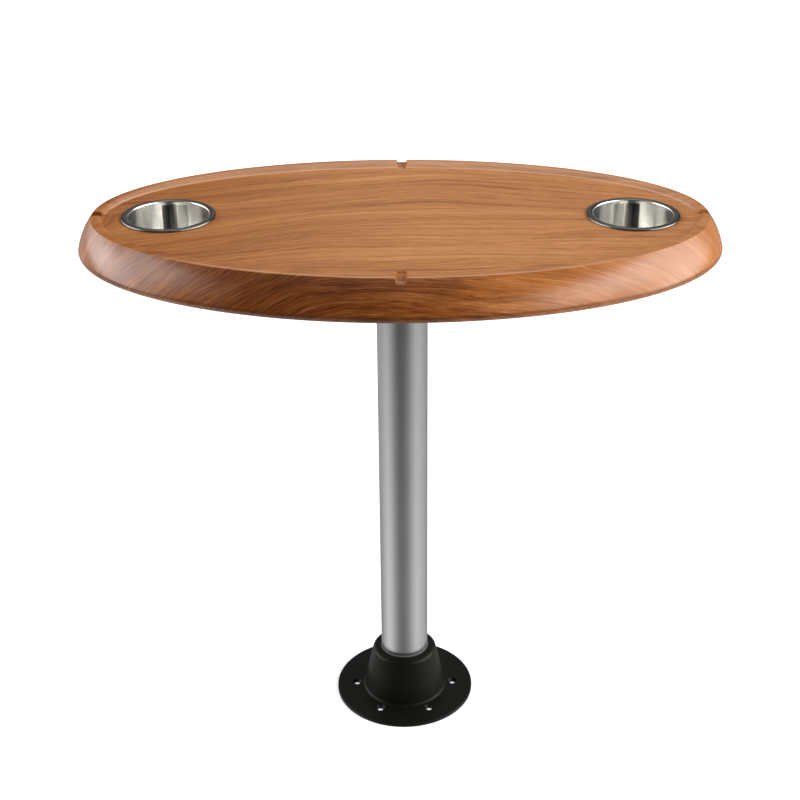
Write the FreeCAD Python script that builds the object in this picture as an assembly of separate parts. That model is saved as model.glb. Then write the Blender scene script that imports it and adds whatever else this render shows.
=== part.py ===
import FreeCAD, Part
import os
import math

# Oval pedestal table: a moulded oval top with a raised lip and two drop-in cups,
# on one removable tube that plugs into a floor socket.
# Frame: origin on the floor at the pedestal's axis, +Z up, +X along the top's long axis.
# All sizes in millimetres.

V = FreeCAD.Vector
Z = V(0, 0, 1)
O = V(0, 0, 0)

# ---------------------------------------------------------------- driving dimensions
# tabletop outline (half axes of ellipses) and heights
A_WIDE, B_WIDE, Z_WIDE = 381.0, 228.6, 656.9     # widest line of the top
Z_BOTTOM = 651.4                                 # rolled lower edge
IN_BOTTOM = 2.7                                  # inset of the lower edge from the widest line
Z_CREST = 692.8                                  # top of the lip
IN_CREST_X, IN_CREST_Y = 17.6, 28.0              # inset of the lip's outer edge at the ends / sides
BULGE = 0.11                                    # outward bow of the sloped face
LAND_X, LAND_Y = 8.0, 17.4                       # width of the lip's flat land at the ends / sides
BEVEL = 5.4                                      # width of the lip's inner bevel
Z_FLAT = 689.0                                   # recessed table surface
SKIN = 3.2                                       # thickness of the moulded skin
R_CREST = 1.1                                    # rounding of the lip's edges
R_ROOT = 4.0                                     # hollow rounding at the foot of the inner bevel
# drain notches through the lip
NOTCH_TOP, NOTCH_FLOOR, Z_NOTCH = 13.6, 10.4, 687.5
R_NOTCH = 1.6
# boards inside the top
T_CORE, T_BATTEN, T_PANEL = 18.0, 12.0, 2.5
Z_CORE1 = Z_FLAT - SKIN                          # 685.8
Z_CORE0 = Z_CORE1 - T_CORE                       # 667.8
Z_BAT0 = Z_CORE0 - T_BATTEN                      # 655.8
Z_PAN0 = Z_BAT0 - T_PANEL                        # 653.3
A_CORE, B_CORE = 350.0, 180.0
A_BAT, B_BAT = 370.5, 217.0
A_BATI, B_BATI = 336.0, 183.0
A_PAN, B_PAN = 374.2, 221.8
R_PAD = 104.0
# cups
X_CUP, R_RIM, R_CUP_IN, T_CUP = 274.3, 55.6, 47.6, 1.0
H_RIM = 2.4                                      # rim height above the seal
T_SEAL = 0.6
CUP_DEPTH = 60.0                                 # from rim top to the cup's floor
CUP_DRAFT = 0.6                                  # wall leans in by this much over its height
R_SKIN_HOLE, R_BOARD_HOLE = 49.5, 50.6
# pedestal tube
R_TUBE, T_TUBE = 31.25, 2.0
R_MOUTH, R_END = 29.0, 27.9                      # swaged end at the socket mouth / at its tip
NECK = 4.5                                       # length of the necking above the mouth
Z_TIP = 9.0                                      # tube tip above the mounting face
# floor base and table socket (the same piece)
R_FLANGE, T_FLANGE = 92.6, 4.3
R_FOOT, Z_FOOT = 55.2, 4.7
R_WAIST, Z_WAIST = 50.0, 32.5                    # middle of the bowed side
R_SHOULDER, Z_SHOULDER = 42.1, 66.8              # corner before it is rounded
Z_MOUTH = 69.4
R_MOUTH_LAND = 33.0
PCD, N_HOLES, R_HOLE, R_CSK = 132.0, 6, 3.6, 6.2
T_WALL = 4.0
FIT = 0.06                                       # running clearance of the tapers
T_BUSH = 2.3
# screws
N_PANEL_SCREWS = 12


def ellipse_wire(a, b, z):
    e = Part.Ellipse(V(0, 0, z), a, b)
    return Part.Wire([e.toShape()])


def ellipse_prism(a, b, z0, z1):
    return Part.Face(ellipse_wire(a, b, z0)).extrude(V(0, 0, z1 - z0))


def cyl(r, z0, z1, x=0.0, y=0.0):
    return Part.makeCylinder(r, z1 - z0, V(x, y, z0))


def line(p, q):
    return Part.LineSegment(V(p[0], 0, p[1]), V(q[0], 0, q[1])).toShape()


def poly(points):
    """Closed polygon in the (r, z) half plane, turned about Z."""
    pts = [V(r, 0, z) for r, z in points]
    return Part.Face(Part.makePolygon(pts + [pts[0]])).revolve(O, Z, 360)


# ---------------------------------------------------------------- tabletop skin
def slope(t, inset=0.0):
    """Half axes and height on the sloped face: t=0 at the widest line, t=1 at the lip."""
    def bez(p0, p2, z0, z2):
        # the middle control point bows outwards, normal to the chord
        mx, mz = (p0 + p2) / 2, (z0 + z2) / 2
        dx, dz = p2 - p0, z2 - z0
        cx, cz = mx + BULGE * dz, mz - BULGE * dx
        return ((1 - t) ** 2 * p0 + 2 * t * (1 - t) * cx + t * t * p2,
                (1 - t) ** 2 * z0 + 2 * t * (1 - t) * cz + t * t * z2)
    ax, az = bez(A_WIDE, A_WIDE - IN_CREST_X, Z_WIDE, Z_CREST)
    bx, bz = bez(B_WIDE, B_WIDE - IN_CREST_Y, Z_WIDE, Z_CREST)
    return ax - inset, bx - inset, (az + bz) / 2


def clamp_wide(a, b, z):
    return min(a, A_WIDE), min(b, B_WIDE), z


def outline_sections():
    """Ellipses of the outer face from the rolled lower edge up to the lip."""
    rows = []
    # rolled lower edge: a quarter turn from the underside to the widest line
    h, d = Z_WIDE - Z_BOTTOM, IN_BOTTOM
    for k in range(0, 5):
        a = math.pi / 2 * k / 4.0
        rows.append((A_WIDE - d * (1 - math.sin(a)), B_WIDE - d * (1 - math.sin(a)), Z_WIDE - h * math.cos(a)))
    for t in (0.12, 0.25, 0.4, 0.55, 0.7, 0.82, 0.92, 1.0):
        rows.append(clamp_wide(*slope(t)))
    return rows


def flat_ring_edges(body, z, a):
    """Closed edges of a body that lie flat at height z and reach out to half axis a."""
    return [e for e in body.Edges if abs(e.BoundBox.ZMin - z) < 1e-3 and abs(e.BoundBox.ZMax - z) < 1e-3
            and abs(e.optimalBoundingBox().XMax - a) < 0.05]


rows = outline_sections()
outer = Part.makeLoft([ellipse_wire(a, b, z) for a, b, z in rows], True, False)
outer = outer.makeFillet(R_CREST, flat_ring_edges(outer, Z_CREST, rows[-1][0]))

A_CR, B_CR = A_WIDE - IN_CREST_X, B_WIDE - IN_CREST_Y
A_BT, B_BT = A_CR - LAND_X, B_CR - LAND_Y          # top of the inner bevel
A_BF, B_BF = A_BT - BEVEL, B_BT - BEVEL            # foot of the inner bevel


def frustum(a0, b0, z0, a1, b1, z1):
    return Part.makeLoft([ellipse_wire(a0, b0, z0), ellipse_wire(a1, b1, z1)], True, True)


k_bev = BEVEL / (Z_CREST - Z_FLAT)
up = 6.0
recess = frustum(A_BF, B_BF, Z_FLAT, A_BT + k_bev * up, B_BT + k_bev * up, Z_CREST + up)
recess = recess.makeFillet(R_ROOT, flat_ring_edges(recess, Z_FLAT, A_BF))
pan = frustum(A_BF + SKIN * 0.7, B_BF + SKIN * 0.7, Z_CORE1, A_BT + SKIN * 0.7 + 2.0, B_BT + SKIN * 0.7 + 2.0, Z_CREST)

# hollow under the skin
cav_rows = [(a - SKIN, b - SKIN, z) for a, b, z in rows if z <= Z_CREST - SKIN - 1.5]
cav_rows[0] = (cav_rows[0][0], cav_rows[0][1], Z_BOTTOM - 1.0)
a_t, b_t = rows[-1][0] - SKIN * 0.9, rows[-1][1] - SKIN * 0.9
cav_rows.append((a_t + 1.0, b_t + 1.6, Z_CREST - SKIN))
cavity = Part.makeLoft([ellipse_wire(a, b, z) for a, b, z in cav_rows], True, True)
shell = outer.cut(cavity)
shell = shell.fuse(pan)

# solid bridges of skin under the four drain notches
for ang in (0, 90, 180, 270):
    a_in = (A_BF - 2.0) if ang in (0, 180) else (B_BF - 2.0)
    a_out = A_WIDE if ang in (0, 180) else B_WIDE
    blk = Part.makeBox(a_out - a_in, NOTCH_TOP + 8.0, Z_CREST - Z_CORE1 + 0.0, V(a_in, -(NOTCH_TOP + 8.0) / 2, Z_CORE1))
    blk.rotate(O, Z, ang)
    shell = shell.fuse(blk.common(outer))
shell = shell.cut(recess)
shell = shell.makeFillet(R_CREST, flat_ring_edges(shell, Z_CREST, A_BT))

# drain notches: a trapezoid with rounded lower corners, cut out through the lip
for ang in (0, 90, 180, 270):
    a_in = (A_BF - 4.0) if ang in (0, 180) else (B_BF - 4.0)
    a_out = (A_WIDE if ang in (0, 180) else B_WIDE) + 5.0
    k = (NOTCH_TOP - NOTCH_FLOOR) / 2.0 / (Z_CREST - Z_NOTCH)
    zt = Z_CREST + 5.0
    wt = NOTCH_TOP / 2 + k * 5.0
    pts = [V(a_in, -NOTCH_FLOOR / 2, Z_NOTCH), V(a_in, NOTCH_FLOOR / 2, Z_NOTCH), V(a_in, wt, zt), V(a_in, -wt, zt)]
    prism = Part.Face(Part.makePolygon(pts + [pts[0]])).extrude(V(a_out - a_in, 0, 0))
    low = [e for e in prism.Edges if abs(e.BoundBox.ZMin - Z_NOTCH) < 1e-6 and abs(e.BoundBox.ZMax - Z_NOTCH) < 1e-6
           and e.BoundBox.XLength > 10]
    prism = prism.makeFillet(R_NOTCH, low)
    prism.rotate(O, Z, ang)
    shell = shell.cut(prism)

for s in (-1, 1):
    shell = shell.cut(cyl(R_SKIN_HOLE, Z_CORE1 - 5, Z_FLAT + 5, s * X_CUP, 0))
tabletop_shell = shell.Solids[0]

# ---------------------------------------------------------------- boards inside the top
def cup_holes(body, r, z0, z1):
    for s in (-1, 1):
        body = body.cut(cyl(r, z0 - 1, z1 + 1, s * X_CUP, 0))
    return body


socket_angles = [2 * math.pi * i / N_HOLES for i in range(N_HOLES)]
socket_xy = [(PCD / 2 * math.cos(a), PCD / 2 * math.sin(a)) for a in socket_angles]
Z_FACE = Z_PAN0                                   # face that the table socket sits on
L_SCREW = 26.0
Z_HEAD = Z_FACE - T_FLANGE                        # underside of the socket's flange
Z_SCREW_TIP = Z_HEAD + L_SCREW
R_SCREW = 2.9


def pilot(body, r, z0, z1):
    for x, y in socket_xy:
        body = body.cut(cyl(r, z0, z1, x, y))
    return body


core = cup_holes(ellipse_prism(A_CORE, B_CORE, Z_CORE0, Z_CORE1), R_BOARD_HOLE, Z_CORE0, Z_CORE1)
tabletop_core = pilot(core, R_SCREW, Z_CORE0 - 1, Z_SCREW_TIP + 0.5)

batten = ellipse_prism(A_BAT, B_BAT, Z_BAT0, Z_CORE0).cut(ellipse_prism(A_BATI, B_BATI, Z_BAT0 - 1, Z_CORE0 + 1))
pad = cyl(R_PAD, Z_BAT0, Z_CORE0)
centre_pad = pilot(pad, R_SCREW, Z_BAT0 - 1, Z_CORE0 + 1)

panel = cup_holes(ellipse_prism(A_PAN, B_PAN, Z_PAN0, Z_BAT0), R_SKIN_HOLE, Z_PAN0, Z_BAT0)
panel = pilot(panel, 3.2, Z_PAN0 - 1, Z_BAT0 + 1)

# panel screws stand on the middle of the batten ring, evenly spaced round it
A_MID, B_MID = (A_BAT + A_BATI) / 2, (B_BAT + B_BATI) / 2


def even_on_ellipse(a, b, n, phase):
    m = 3600
    pts = [(a * math.cos(2 * math.pi * i / m), b * math.sin(2 * math.pi * i / m)) for i in range(m + 1)]
    acc = [0.0]
    for i in range(m):
        acc.append(acc[-1] + math.hypot(pts[i + 1][0] - pts[i][0], pts[i + 1][1] - pts[i][1]))
    out = []
    for k in range(n):
        s = ((k + phase) / n) % 1.0 * acc[-1]
        i = next(j for j in range(m) if acc[j + 1] >= s)
        out.append(pts[i])
    return out


panel_xy = even_on_ellipse(A_MID, B_MID, N_PANEL_SCREWS, 0.5)
R_PS = 1.75
for x, y in panel_xy:
    panel = panel.cut(cyl(R_PS + 0.15, Z_PAN0 - 1, Z_BAT0 + 1, x, y))
    batten = batten.cut(cyl(R_PS, Z_BAT0 - 1, Z_BAT0 + 11.0, x, y))
underside_panel = panel
edge_batten = batten


def cross_recess(x, y, z, size, depth, ang=0.0):
    """Tapered cross slot, its mouth at height z, cut upwards into the head."""
    out = None
    for rot in (0, 90):
        w = size * 0.21
        pts = [V(-size / 2, 0, -0.3), V(size / 2, 0, -0.3), V(size * 0.26, 0, depth), V(-size * 0.26, 0, depth)]
        f = Part.Face(Part.makePolygon(pts + [pts[0]]))
        b = f.extrude(V(0, w, 0))
        b.translate(V(0, -w / 2, 0))
        b.rotate(O, Z, rot + ang)
        out = b if out is None else out.fuse(b)
    out.translate(V(x, y, z))
    return out


panel_screw_solids = []
for i, (x, y) in enumerate(panel_xy):
    # pan head below the panel, shank up into the batten
    zh = Z_PAN0
    head = Part.Face(Part.Wire([
        Part.LineSegment(V(0, 0, zh - 2.2), V(1.2, 0, zh - 2.2)).toShape(),
        Part.Arc(V(1.2, 0, zh - 2.2), V(3.1, 0, zh - 1.45), V(3.6, 0, zh - 0.5)).toShape(),
        Part.LineSegment(V(3.6, 0, zh - 0.5), V(3.6, 0, zh)).toShape(),
        Part.LineSegment(V(3.6, 0, zh), V(R_PS, 0, zh)).toShape(),
        Part.LineSegment(V(R_PS, 0, zh), V(R_PS, 0, zh + 10.5)).toShape(),
        Part.LineSegment(V(R_PS, 0, zh + 10.5), V(0, 0, zh + 13.0)).toShape(),
        Part.LineSegment(V(0, 0, zh + 13.0), V(0, 0, zh - 2.2)).toShape()])).revolve(O, Z, 360)
    head.translate(V(x, y, 0))
    head = head.cut(cross_recess(x, y, zh - 2.2, 3.8, 1.5, 17.0 * i))
    panel_screw_solids.append(head)
panel_screws = Part.makeCompound(panel_screw_solids)

# ---------------------------------------------------------------- socket: cone on a round screw flange
def taper_r(z):
    """Outer radius of the tube's swaged end, z above the mounting face."""
    return R_END + (R_MOUTH - R_END) * (z - Z_TIP) / (Z_MOUTH - Z_TIP)


def make_socket():
    side = Part.Arc(V(R_FOOT, 0, Z_FOOT), V(R_WAIST, 0, Z_WAIST), V(R_SHOULDER, 0, Z_SHOULDER)).toShape()
    body = Part.Face(Part.Wire([
        line((0, 0), (R_FLANGE, 0)), line((R_FLANGE, 0), (R_FLANGE, T_FLANGE)),
        line((R_FLANGE, T_FLANGE), (R_FOOT, Z_FOOT)), side,
        line((R_SHOULDER, Z_SHOULDER), (R_MOUTH_LAND, Z_MOUTH)), line((R_MOUTH_LAND, Z_MOUTH), (0, Z_MOUTH)),
        line((0, Z_MOUTH), (0, 0))])).revolve(O, Z, 360)

    def ring_edge(r, z):
        best = None
        for e in body.Edges:
            if not isinstance(e.Curve, Part.Circle):
                continue
            c = e.Curve
            d = abs(c.Radius - r) + abs(c.Center.z - z)
            if best is None or d < best[0]:
                best = (d, e)
        return best[1]
    body = body.makeFillet(1.3, [ring_edge(R_FLANGE, T_FLANGE)])
    body = body.makeFillet(4.2, [ring_edge(R_FOOT, Z_FOOT)])
    body = body.makeFillet(7.0, [ring_edge(R_SHOULDER, Z_SHOULDER)])
    # hollow moulding: inner sleeve, outer cone, six ribs
    r_sleeve = R_MOUTH + T_BUSH + FIT + 3.4
    hollow = poly([(r_sleeve, -1), (R_FOOT - T_WALL + 0.6, -1), (R_WAIST - T_WALL + 0.5, Z_WAIST - 2.0),
                   (R_SHOULDER - T_WALL + 3.2, Z_SHOULDER - 13.0), (R_SHOULDER - T_WALL + 1.2, Z_SHOULDER - 6.8),
                   (r_sleeve, Z_SHOULDER - 4.6)])
    for i in range(6):
        rib = Part.makeBox(R_FOOT, 3.2, Z_SHOULDER - 3.0, V(0, -1.6, 2.0))
        rib.rotate(O, Z, 30 + 60 * i)
        hollow = hollow.cut(rib)
    body = body.cut(hollow)
    # tapered bore for the liner, a stop ledge and a clearance hole in the bottom
    c = T_BUSH + FIT
    bore = poly([(0, 6.0), (taper_r(6.0) + c, 6.0), (taper_r(Z_MOUTH + 2) + c, Z_MOUTH + 2), (0, Z_MOUTH + 2)])
    body = body.cut(bore).cut(cyl(22.0, -1, 7))
    # countersunk screw holes
    for x, y in socket_xy:
        body = body.cut(cyl(R_HOLE, -1, T_FLANGE + 2, x, y))
        csk = Part.makeCone(R_HOLE, R_CSK + 1.0, R_CSK + 1.0 - R_HOLE, V(x, y, T_FLANGE + 0.3 - (R_CSK - R_HOLE)))
        body = body.cut(csk)
    return body


def make_bush():
    """Tapered liner with a thin collar that shows at the socket's mouth."""
    z0, z1 = 6.0, Z_MOUTH + 0.9
    zc = Z_MOUTH + 0.02
    c_in, c_out = FIT, T_BUSH
    return poly([(24.0, z0 + 0.1), (taper_r(z0 + 0.1) + c_out, z0 + 0.1), (taper_r(zc) + c_out, zc), (taper_r(zc) + c_out + 0.9, zc),
                 (taper_r(zc) + c_out + 0.6, z1), (taper_r(z1) + c_in, z1),
                 (taper_r(Z_TIP - 0.1) + c_in, Z_TIP - 0.1), (24.0, Z_TIP - 0.1)])


floor_base = make_socket()
floor_base_bush = make_bush()


def to_table(shape):
    """Turn a socket piece upside down so that its mounting face meets the table's underside."""
    s = shape.copy()
    s.rotate(O, V(1, 0, 0), 180)
    s.translate(V(0, 0, Z_FACE))
    return s


table_socket = to_table(floor_base)
table_socket_bush = to_table(floor_base_bush)

# ---------------------------------------------------------------- pedestal tube
Z_TOP_TIP = Z_FACE - Z_TIP


def tube_profile(off):
    """Outer (off=0) or inner (off=-wall) line of the tube from bottom tip to top tip."""
    sl = (R_MOUTH - R_END) / (Z_MOUTH - Z_TIP)
    zm = Z_MOUTH + 0.9
    rm = taper_r(zm)
    pts0 = [(R_END + off, Z_TIP), (rm + off, zm)]
    neck_end = (R_TUBE + off, zm + NECK)
    b = Part.BSplineCurve()
    b.interpolate([V(pts0[1][0], 0, pts0[1][1]), V(neck_end[0], 0, neck_end[1])], False, 1e-6,
                  InitialTangent=V(sl, 0, 1), FinalTangent=V(0, 0, 1))
    low = [line(pts0[0], pts0[1]), b.toShape()]
    top_tip = (R_END + off, Z_TOP_TIP)
    zt = Z_FACE - zm
    b2 = Part.BSplineCurve()
    b2.interpolate([V(R_TUBE + off, 0, zt - NECK), V(rm + off, 0, zt)], False, 1e-6,
                   InitialTangent=V(0, 0, 1), FinalTangent=V(-sl, 0, 1))
    high = [b2.toShape(), line((rm + off, zt), top_tip)]
    mid = line(neck_end, (R_TUBE + off, zt - NECK))
    return low + [mid] + high


outer_edges = tube_profile(0.0)
inner_edges = tube_profile(-T_TUBE)
closing = [line((R_END, Z_TIP), (R_END - T_TUBE, Z_TIP)), line((R_END, Z_TOP_TIP), (R_END - T_TUBE, Z_TOP_TIP))]
wire = Part.Wire(Part.__sortEdges__(outer_edges + inner_edges + closing))
pedestal_tube = Part.Face(wire).revolve(O, Z, 360)

# ---------------------------------------------------------------- socket screws under the table
screw_solids = []
for i, (x, y) in enumerate(socket_xy):
    zh = Z_HEAD + 0.05
    d = R_CSK - 0.5
    prof = [(0, zh), (d, zh), (d, zh + 0.1), (R_SCREW, zh + 0.1 + (d - R_SCREW)), (R_SCREW, Z_SCREW_TIP - 5.0),
            (0, Z_SCREW_TIP)]
    s = poly(prof)
    s.translate(V(x, y, 0))
    s = s.cut(cross_recess(x, y, zh, 6.2, 2.3, 23.0 * i + 8))
    screw_solids.append(s)
table_socket_screws = Part.makeCompound(screw_solids)

# ---------------------------------------------------------------- cups and their seals
def bead_arcs(cr, cz, a, b, r1, t):
    """Three tangent arcs of a low rolled bead, a wide by b high, on a base line at height cz.
    t moves the line inwards by the sheet's thickness."""
    big = (a * a - 2 * a * r1 + b * b) / (2 * (b - r1))
    cx, cy = a - r1, -(big - b)
    n = math.hypot(cx, cy)
    ux, uy = cx / n, -cy / n
    ro, ri = big - t, r1 - t
    px, py = ro * ux, cy + ro * uy

    def end(sign):
        half = math.atan2(uy, ux) / 2
        return Part.Arc(V(cr + sign * (cx + ri), 0, cz),
                        V(cr + sign * (cx + ri * math.cos(half)), 0, cz + ri * math.sin(half)),
                        V(cr + sign * px, 0, cz + py)).toShape()
    crown = Part.Arc(V(cr + px, 0, cz + py), V(cr, 0, cz + cy + ro), V(cr - px, 0, cz + py)).toShape()
    return [end(1), crown, end(-1)]


Z_HEM = Z_FLAT + T_SEAL
Z_CUP_IN = Z_HEM + H_RIM - CUP_DEPTH                # inner floor of the cup
R_CUP_BOT = R_CUP_IN - CUP_DRAFT
R_KNUCKLE = 7.0                                     # inner rounding between wall and floor


def make_cup():
    cr = (R_RIM + R_CUP_IN) / 2
    a = (R_RIM - R_CUP_IN) / 2
    t = T_CUP
    top = bead_arcs(cr, Z_HEM, a, H_RIM, 1.8, 0.0)
    und = bead_arcs(cr, Z_HEM, a, H_RIM, 1.8, t)
    zk = Z_CUP_IN + R_KNUCKLE
    s45 = math.sqrt(0.5)
    inner = [line((R_CUP_IN, Z_HEM), (R_CUP_BOT, zk)),
             Part.Arc(V(R_CUP_BOT, 0, zk), V(R_CUP_BOT - R_KNUCKLE * (1 - s45), 0, zk - R_KNUCKLE * s45),
                      V(R_CUP_BOT - R_KNUCKLE, 0, Z_CUP_IN)).toShape(),
             line((R_CUP_BOT - R_KNUCKLE, Z_CUP_IN), (0, Z_CUP_IN))]
    ro, zo = R_CUP_BOT + t, zk
    rk = R_KNUCKLE + t
    outer_l = [line((R_CUP_IN + t, Z_HEM), (ro, zo)),
               Part.Arc(V(ro, 0, zo), V(ro - rk * (1 - s45), 0, zo - rk * s45), V(ro - rk, 0, zo - rk)).toShape(),
               line((ro - rk, zo - rk), (0, zo - rk))]
    hem = line((R_RIM, Z_HEM), (R_RIM - t, Z_HEM))
    axis = line((0, Z_CUP_IN), (0, zo - rk))
    w = Part.Wire(Part.__sortEdges__(top + inner + [axis] + outer_l + und + [hem]))
    return Part.Face(w).revolve(O, Z, 360)


cup = make_cup()
seal = poly([(R_SKIN_HOLE + 0.3, Z_FLAT), (R_RIM - 0.2, Z_FLAT), (R_RIM - 0.4, Z_HEM), (R_SKIN_HOLE + 0.3, Z_HEM)])


def at_cup(shape, s):
    c = shape.copy()
    c.translate(V(s * X_CUP, 0, 0))
    return c


parts = {
    "tabletop_shell": tabletop_shell,
    "tabletop_core": tabletop_core,
    "edge_batten": edge_batten,
    "centre_pad": centre_pad,
    "underside_panel": underside_panel,
    "panel_screws": panel_screws,
    "left_cup": at_cup(cup, -1),
    "right_cup": at_cup(cup, 1),
    "left_cup_gasket": at_cup(seal, -1),
    "right_cup_gasket": at_cup(seal, 1),
    "table_socket": table_socket,
    "table_socket_bush": table_socket_bush,
    "table_socket_screws": table_socket_screws,
    "pedestal_tube": pedestal_tube,
    "floor_base": floor_base,
    "floor_base_bush": floor_base_bush,
}

os.makedirs("parts", exist_ok=True)
for name, shape in parts.items():
    shape.exportStep("parts/" + name + ".step")
    bb = shape.optimalBoundingBox()
    print("%-20s solids %2d valid %s vol %9.1f  x %.2f..%.2f y %.2f..%.2f z %.2f..%.2f" % (
        name, len(shape.Solids), shape.isValid(), shape.Volume, bb.XMin, bb.XMax, bb.YMin, bb.YMax, bb.ZMin, bb.ZMax))
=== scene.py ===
import bpy
import bmesh
import math
from mathutils import Vector, Matrix


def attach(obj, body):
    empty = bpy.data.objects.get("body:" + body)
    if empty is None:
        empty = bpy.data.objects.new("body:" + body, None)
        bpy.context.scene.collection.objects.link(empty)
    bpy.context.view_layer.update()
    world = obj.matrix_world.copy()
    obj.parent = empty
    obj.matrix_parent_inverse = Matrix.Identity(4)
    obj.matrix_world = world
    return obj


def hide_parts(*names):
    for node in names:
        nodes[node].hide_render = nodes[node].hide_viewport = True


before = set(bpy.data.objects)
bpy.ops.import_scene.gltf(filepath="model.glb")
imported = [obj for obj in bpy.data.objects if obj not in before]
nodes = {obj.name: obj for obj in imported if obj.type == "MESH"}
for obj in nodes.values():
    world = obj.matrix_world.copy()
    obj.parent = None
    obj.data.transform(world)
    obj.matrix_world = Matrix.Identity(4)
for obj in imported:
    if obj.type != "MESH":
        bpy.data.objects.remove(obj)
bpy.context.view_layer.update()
scene = bpy.context.scene
MM = 0.001

# ------------------------------------------------------------------ sizes of the top (mm)
A_WIDE, B_WIDE, Z_WIDE = 381.0, 228.6, 656.9
Z_BOTTOM, IN_BOTTOM = 651.4, 2.7
Z_CREST = 692.8
IN_CREST_X, IN_CREST_Y = 17.6, 28.0
BULGE = 0.11
LAND_X, LAND_Y = 8.0, 17.4
BEVEL = 5.4
Z_FLAT, SKIN = 689.0, 3.2
R_CREST, R_ROOT = 1.1, 4.0
NOTCH_TOP, NOTCH_FLOOR, Z_NOTCH, R_NOTCH = 13.6, 10.4, 687.5, 1.6
Z_CORE1 = Z_FLAT - SKIN
X_CUP, R_RIM, R_CUP_IN, T_CUP = 274.3, 55.6, 47.6, 1.0
H_RIM, T_SEAL, CUP_DEPTH, CUP_DRAFT = 2.4, 0.6, 60.0, 0.6
R_SKIN_HOLE = 49.5
A_CR, B_CR = A_WIDE - IN_CREST_X, B_WIDE - IN_CREST_Y
A_BT, B_BT = A_CR - LAND_X, B_CR - LAND_Y
A_BF, B_BF = A_BT - BEVEL, B_BT - BEVEL


# ------------------------------------------------------------------ mesh helpers
def add_mesh(name, verts, faces, smooth=True):
    me = bpy.data.meshes.new(name)
    me.from_pydata([(x * MM, y * MM, z * MM) for x, y, z in verts], [], faces)
    me.validate()
    bm = bmesh.new()
    bm.from_mesh(me)
    bmesh.ops.remove_doubles(bm, verts=bm.verts, dist=1e-6)
    bmesh.ops.recalc_face_normals(bm, faces=bm.faces)
    bm.to_mesh(me)
    bm.free()
    for p in me.polygons:
        p.use_smooth = smooth
    ob = bpy.data.objects.new(name, me)
    scene.collection.objects.link(ob)
    return ob


def weighted(ob):
    m = ob.modifiers.new("even_normals", "WEIGHTED_NORMAL")
    m.mode = "FACE_AREA"
    m.weight = 60
    m.keep_sharp = True


def sharpen(ob, degrees):
    """Marks edges that turn more than this as sharp."""
    me = ob.data
    bm = bmesh.new()
    bm.from_mesh(me)
    lim = math.radians(degrees)
    for e in bm.edges:
        if len(e.link_faces) == 2 and e.calc_face_angle(0.0) > lim:
            e.smooth = False
    bm.to_mesh(me)
    bm.free()


def lathe(name, profile, n, cx=0.0, cy=0.0, closed=True):
    """Turns a line of (r, z) points about the vertical axis at cx, cy. Points on the axis become one vertex."""
    verts, rows = [], []
    for r, z in profile:
        if r < 1e-6:
            rows.append([len(verts)] * n)
            verts.append((cx, cy, z))
        else:
            rows.append([len(verts) + i for i in range(n)])
            for i in range(n):
                a = 2 * math.pi * i / n
                verts.append((cx + r * math.cos(a), cy + r * math.sin(a), z))
    faces = []
    pairs = list(zip(rows, rows[1:])) + ([(rows[-1], rows[0])] if closed else [])
    for a, b in pairs:
        for i in range(n):
            j = (i + 1) % n
            f = [a[i], a[j], b[j], b[i]]
            g = []
            for v in f:
                if v not in g:
                    g.append(v)
            if len(g) > 2:
                faces.append(g)
    return add_mesh(name, verts, faces)


def arc(cx, cz, r, a0, a1, n):
    """n + 1 points of an arc, angles in degrees from +r towards +z."""
    return [(cx + r * math.cos(math.radians(a0 + (a1 - a0) * k / n)),
             cz + r * math.sin(math.radians(a0 + (a1 - a0) * k / n))) for k in range(n + 1)]


def fillet(p, q, s, r, n=5):
    """Arc of radius r that rounds the corner q between p and s."""
    v1 = Vector((p[0] - q[0], p[1] - q[1])).normalized()
    v2 = Vector((s[0] - q[0], s[1] - q[1])).normalized()
    ang = math.acos(max(-1.0, min(1.0, v1.dot(v2))))
    t = r / math.tan(ang / 2)
    c = Vector(q) + (v1 + v2).normalized() * (r / math.sin(ang / 2))
    s1, s2 = Vector(q) + v1 * t - c, Vector(q) + v2 * t - c
    a1, a2 = math.atan2(s1.y, s1.x), math.atan2(s2.y, s2.x)
    d = (a2 - a1 + math.pi) % (2 * math.pi) - math.pi
    return [(c.x + r * math.cos(a1 + d * k / n), c.y + r * math.sin(a1 + d * k / n)) for k in range(n + 1)]


# ------------------------------------------------------------------ tabletop skin
def slope(t):
    def bez(p0, p2, z0, z2):
        mx, mz = (p0 + p2) / 2, (z0 + z2) / 2
        dx, dz = p2 - p0, z2 - z0
        cx, cz = mx + BULGE * dz, mz - BULGE * dx
        return ((1 - t) ** 2 * p0 + 2 * t * (1 - t) * cx + t * t * p2,
                (1 - t) ** 2 * z0 + 2 * t * (1 - t) * cz + t * t * z2)
    ax, az = bez(A_WIDE, A_CR, Z_WIDE, Z_CREST)
    bx, bz = bez(B_WIDE, B_CR, Z_WIDE, Z_CREST)
    return min(ax, A_WIDE), min(bx, B_WIDE), (az + bz) / 2


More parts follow.
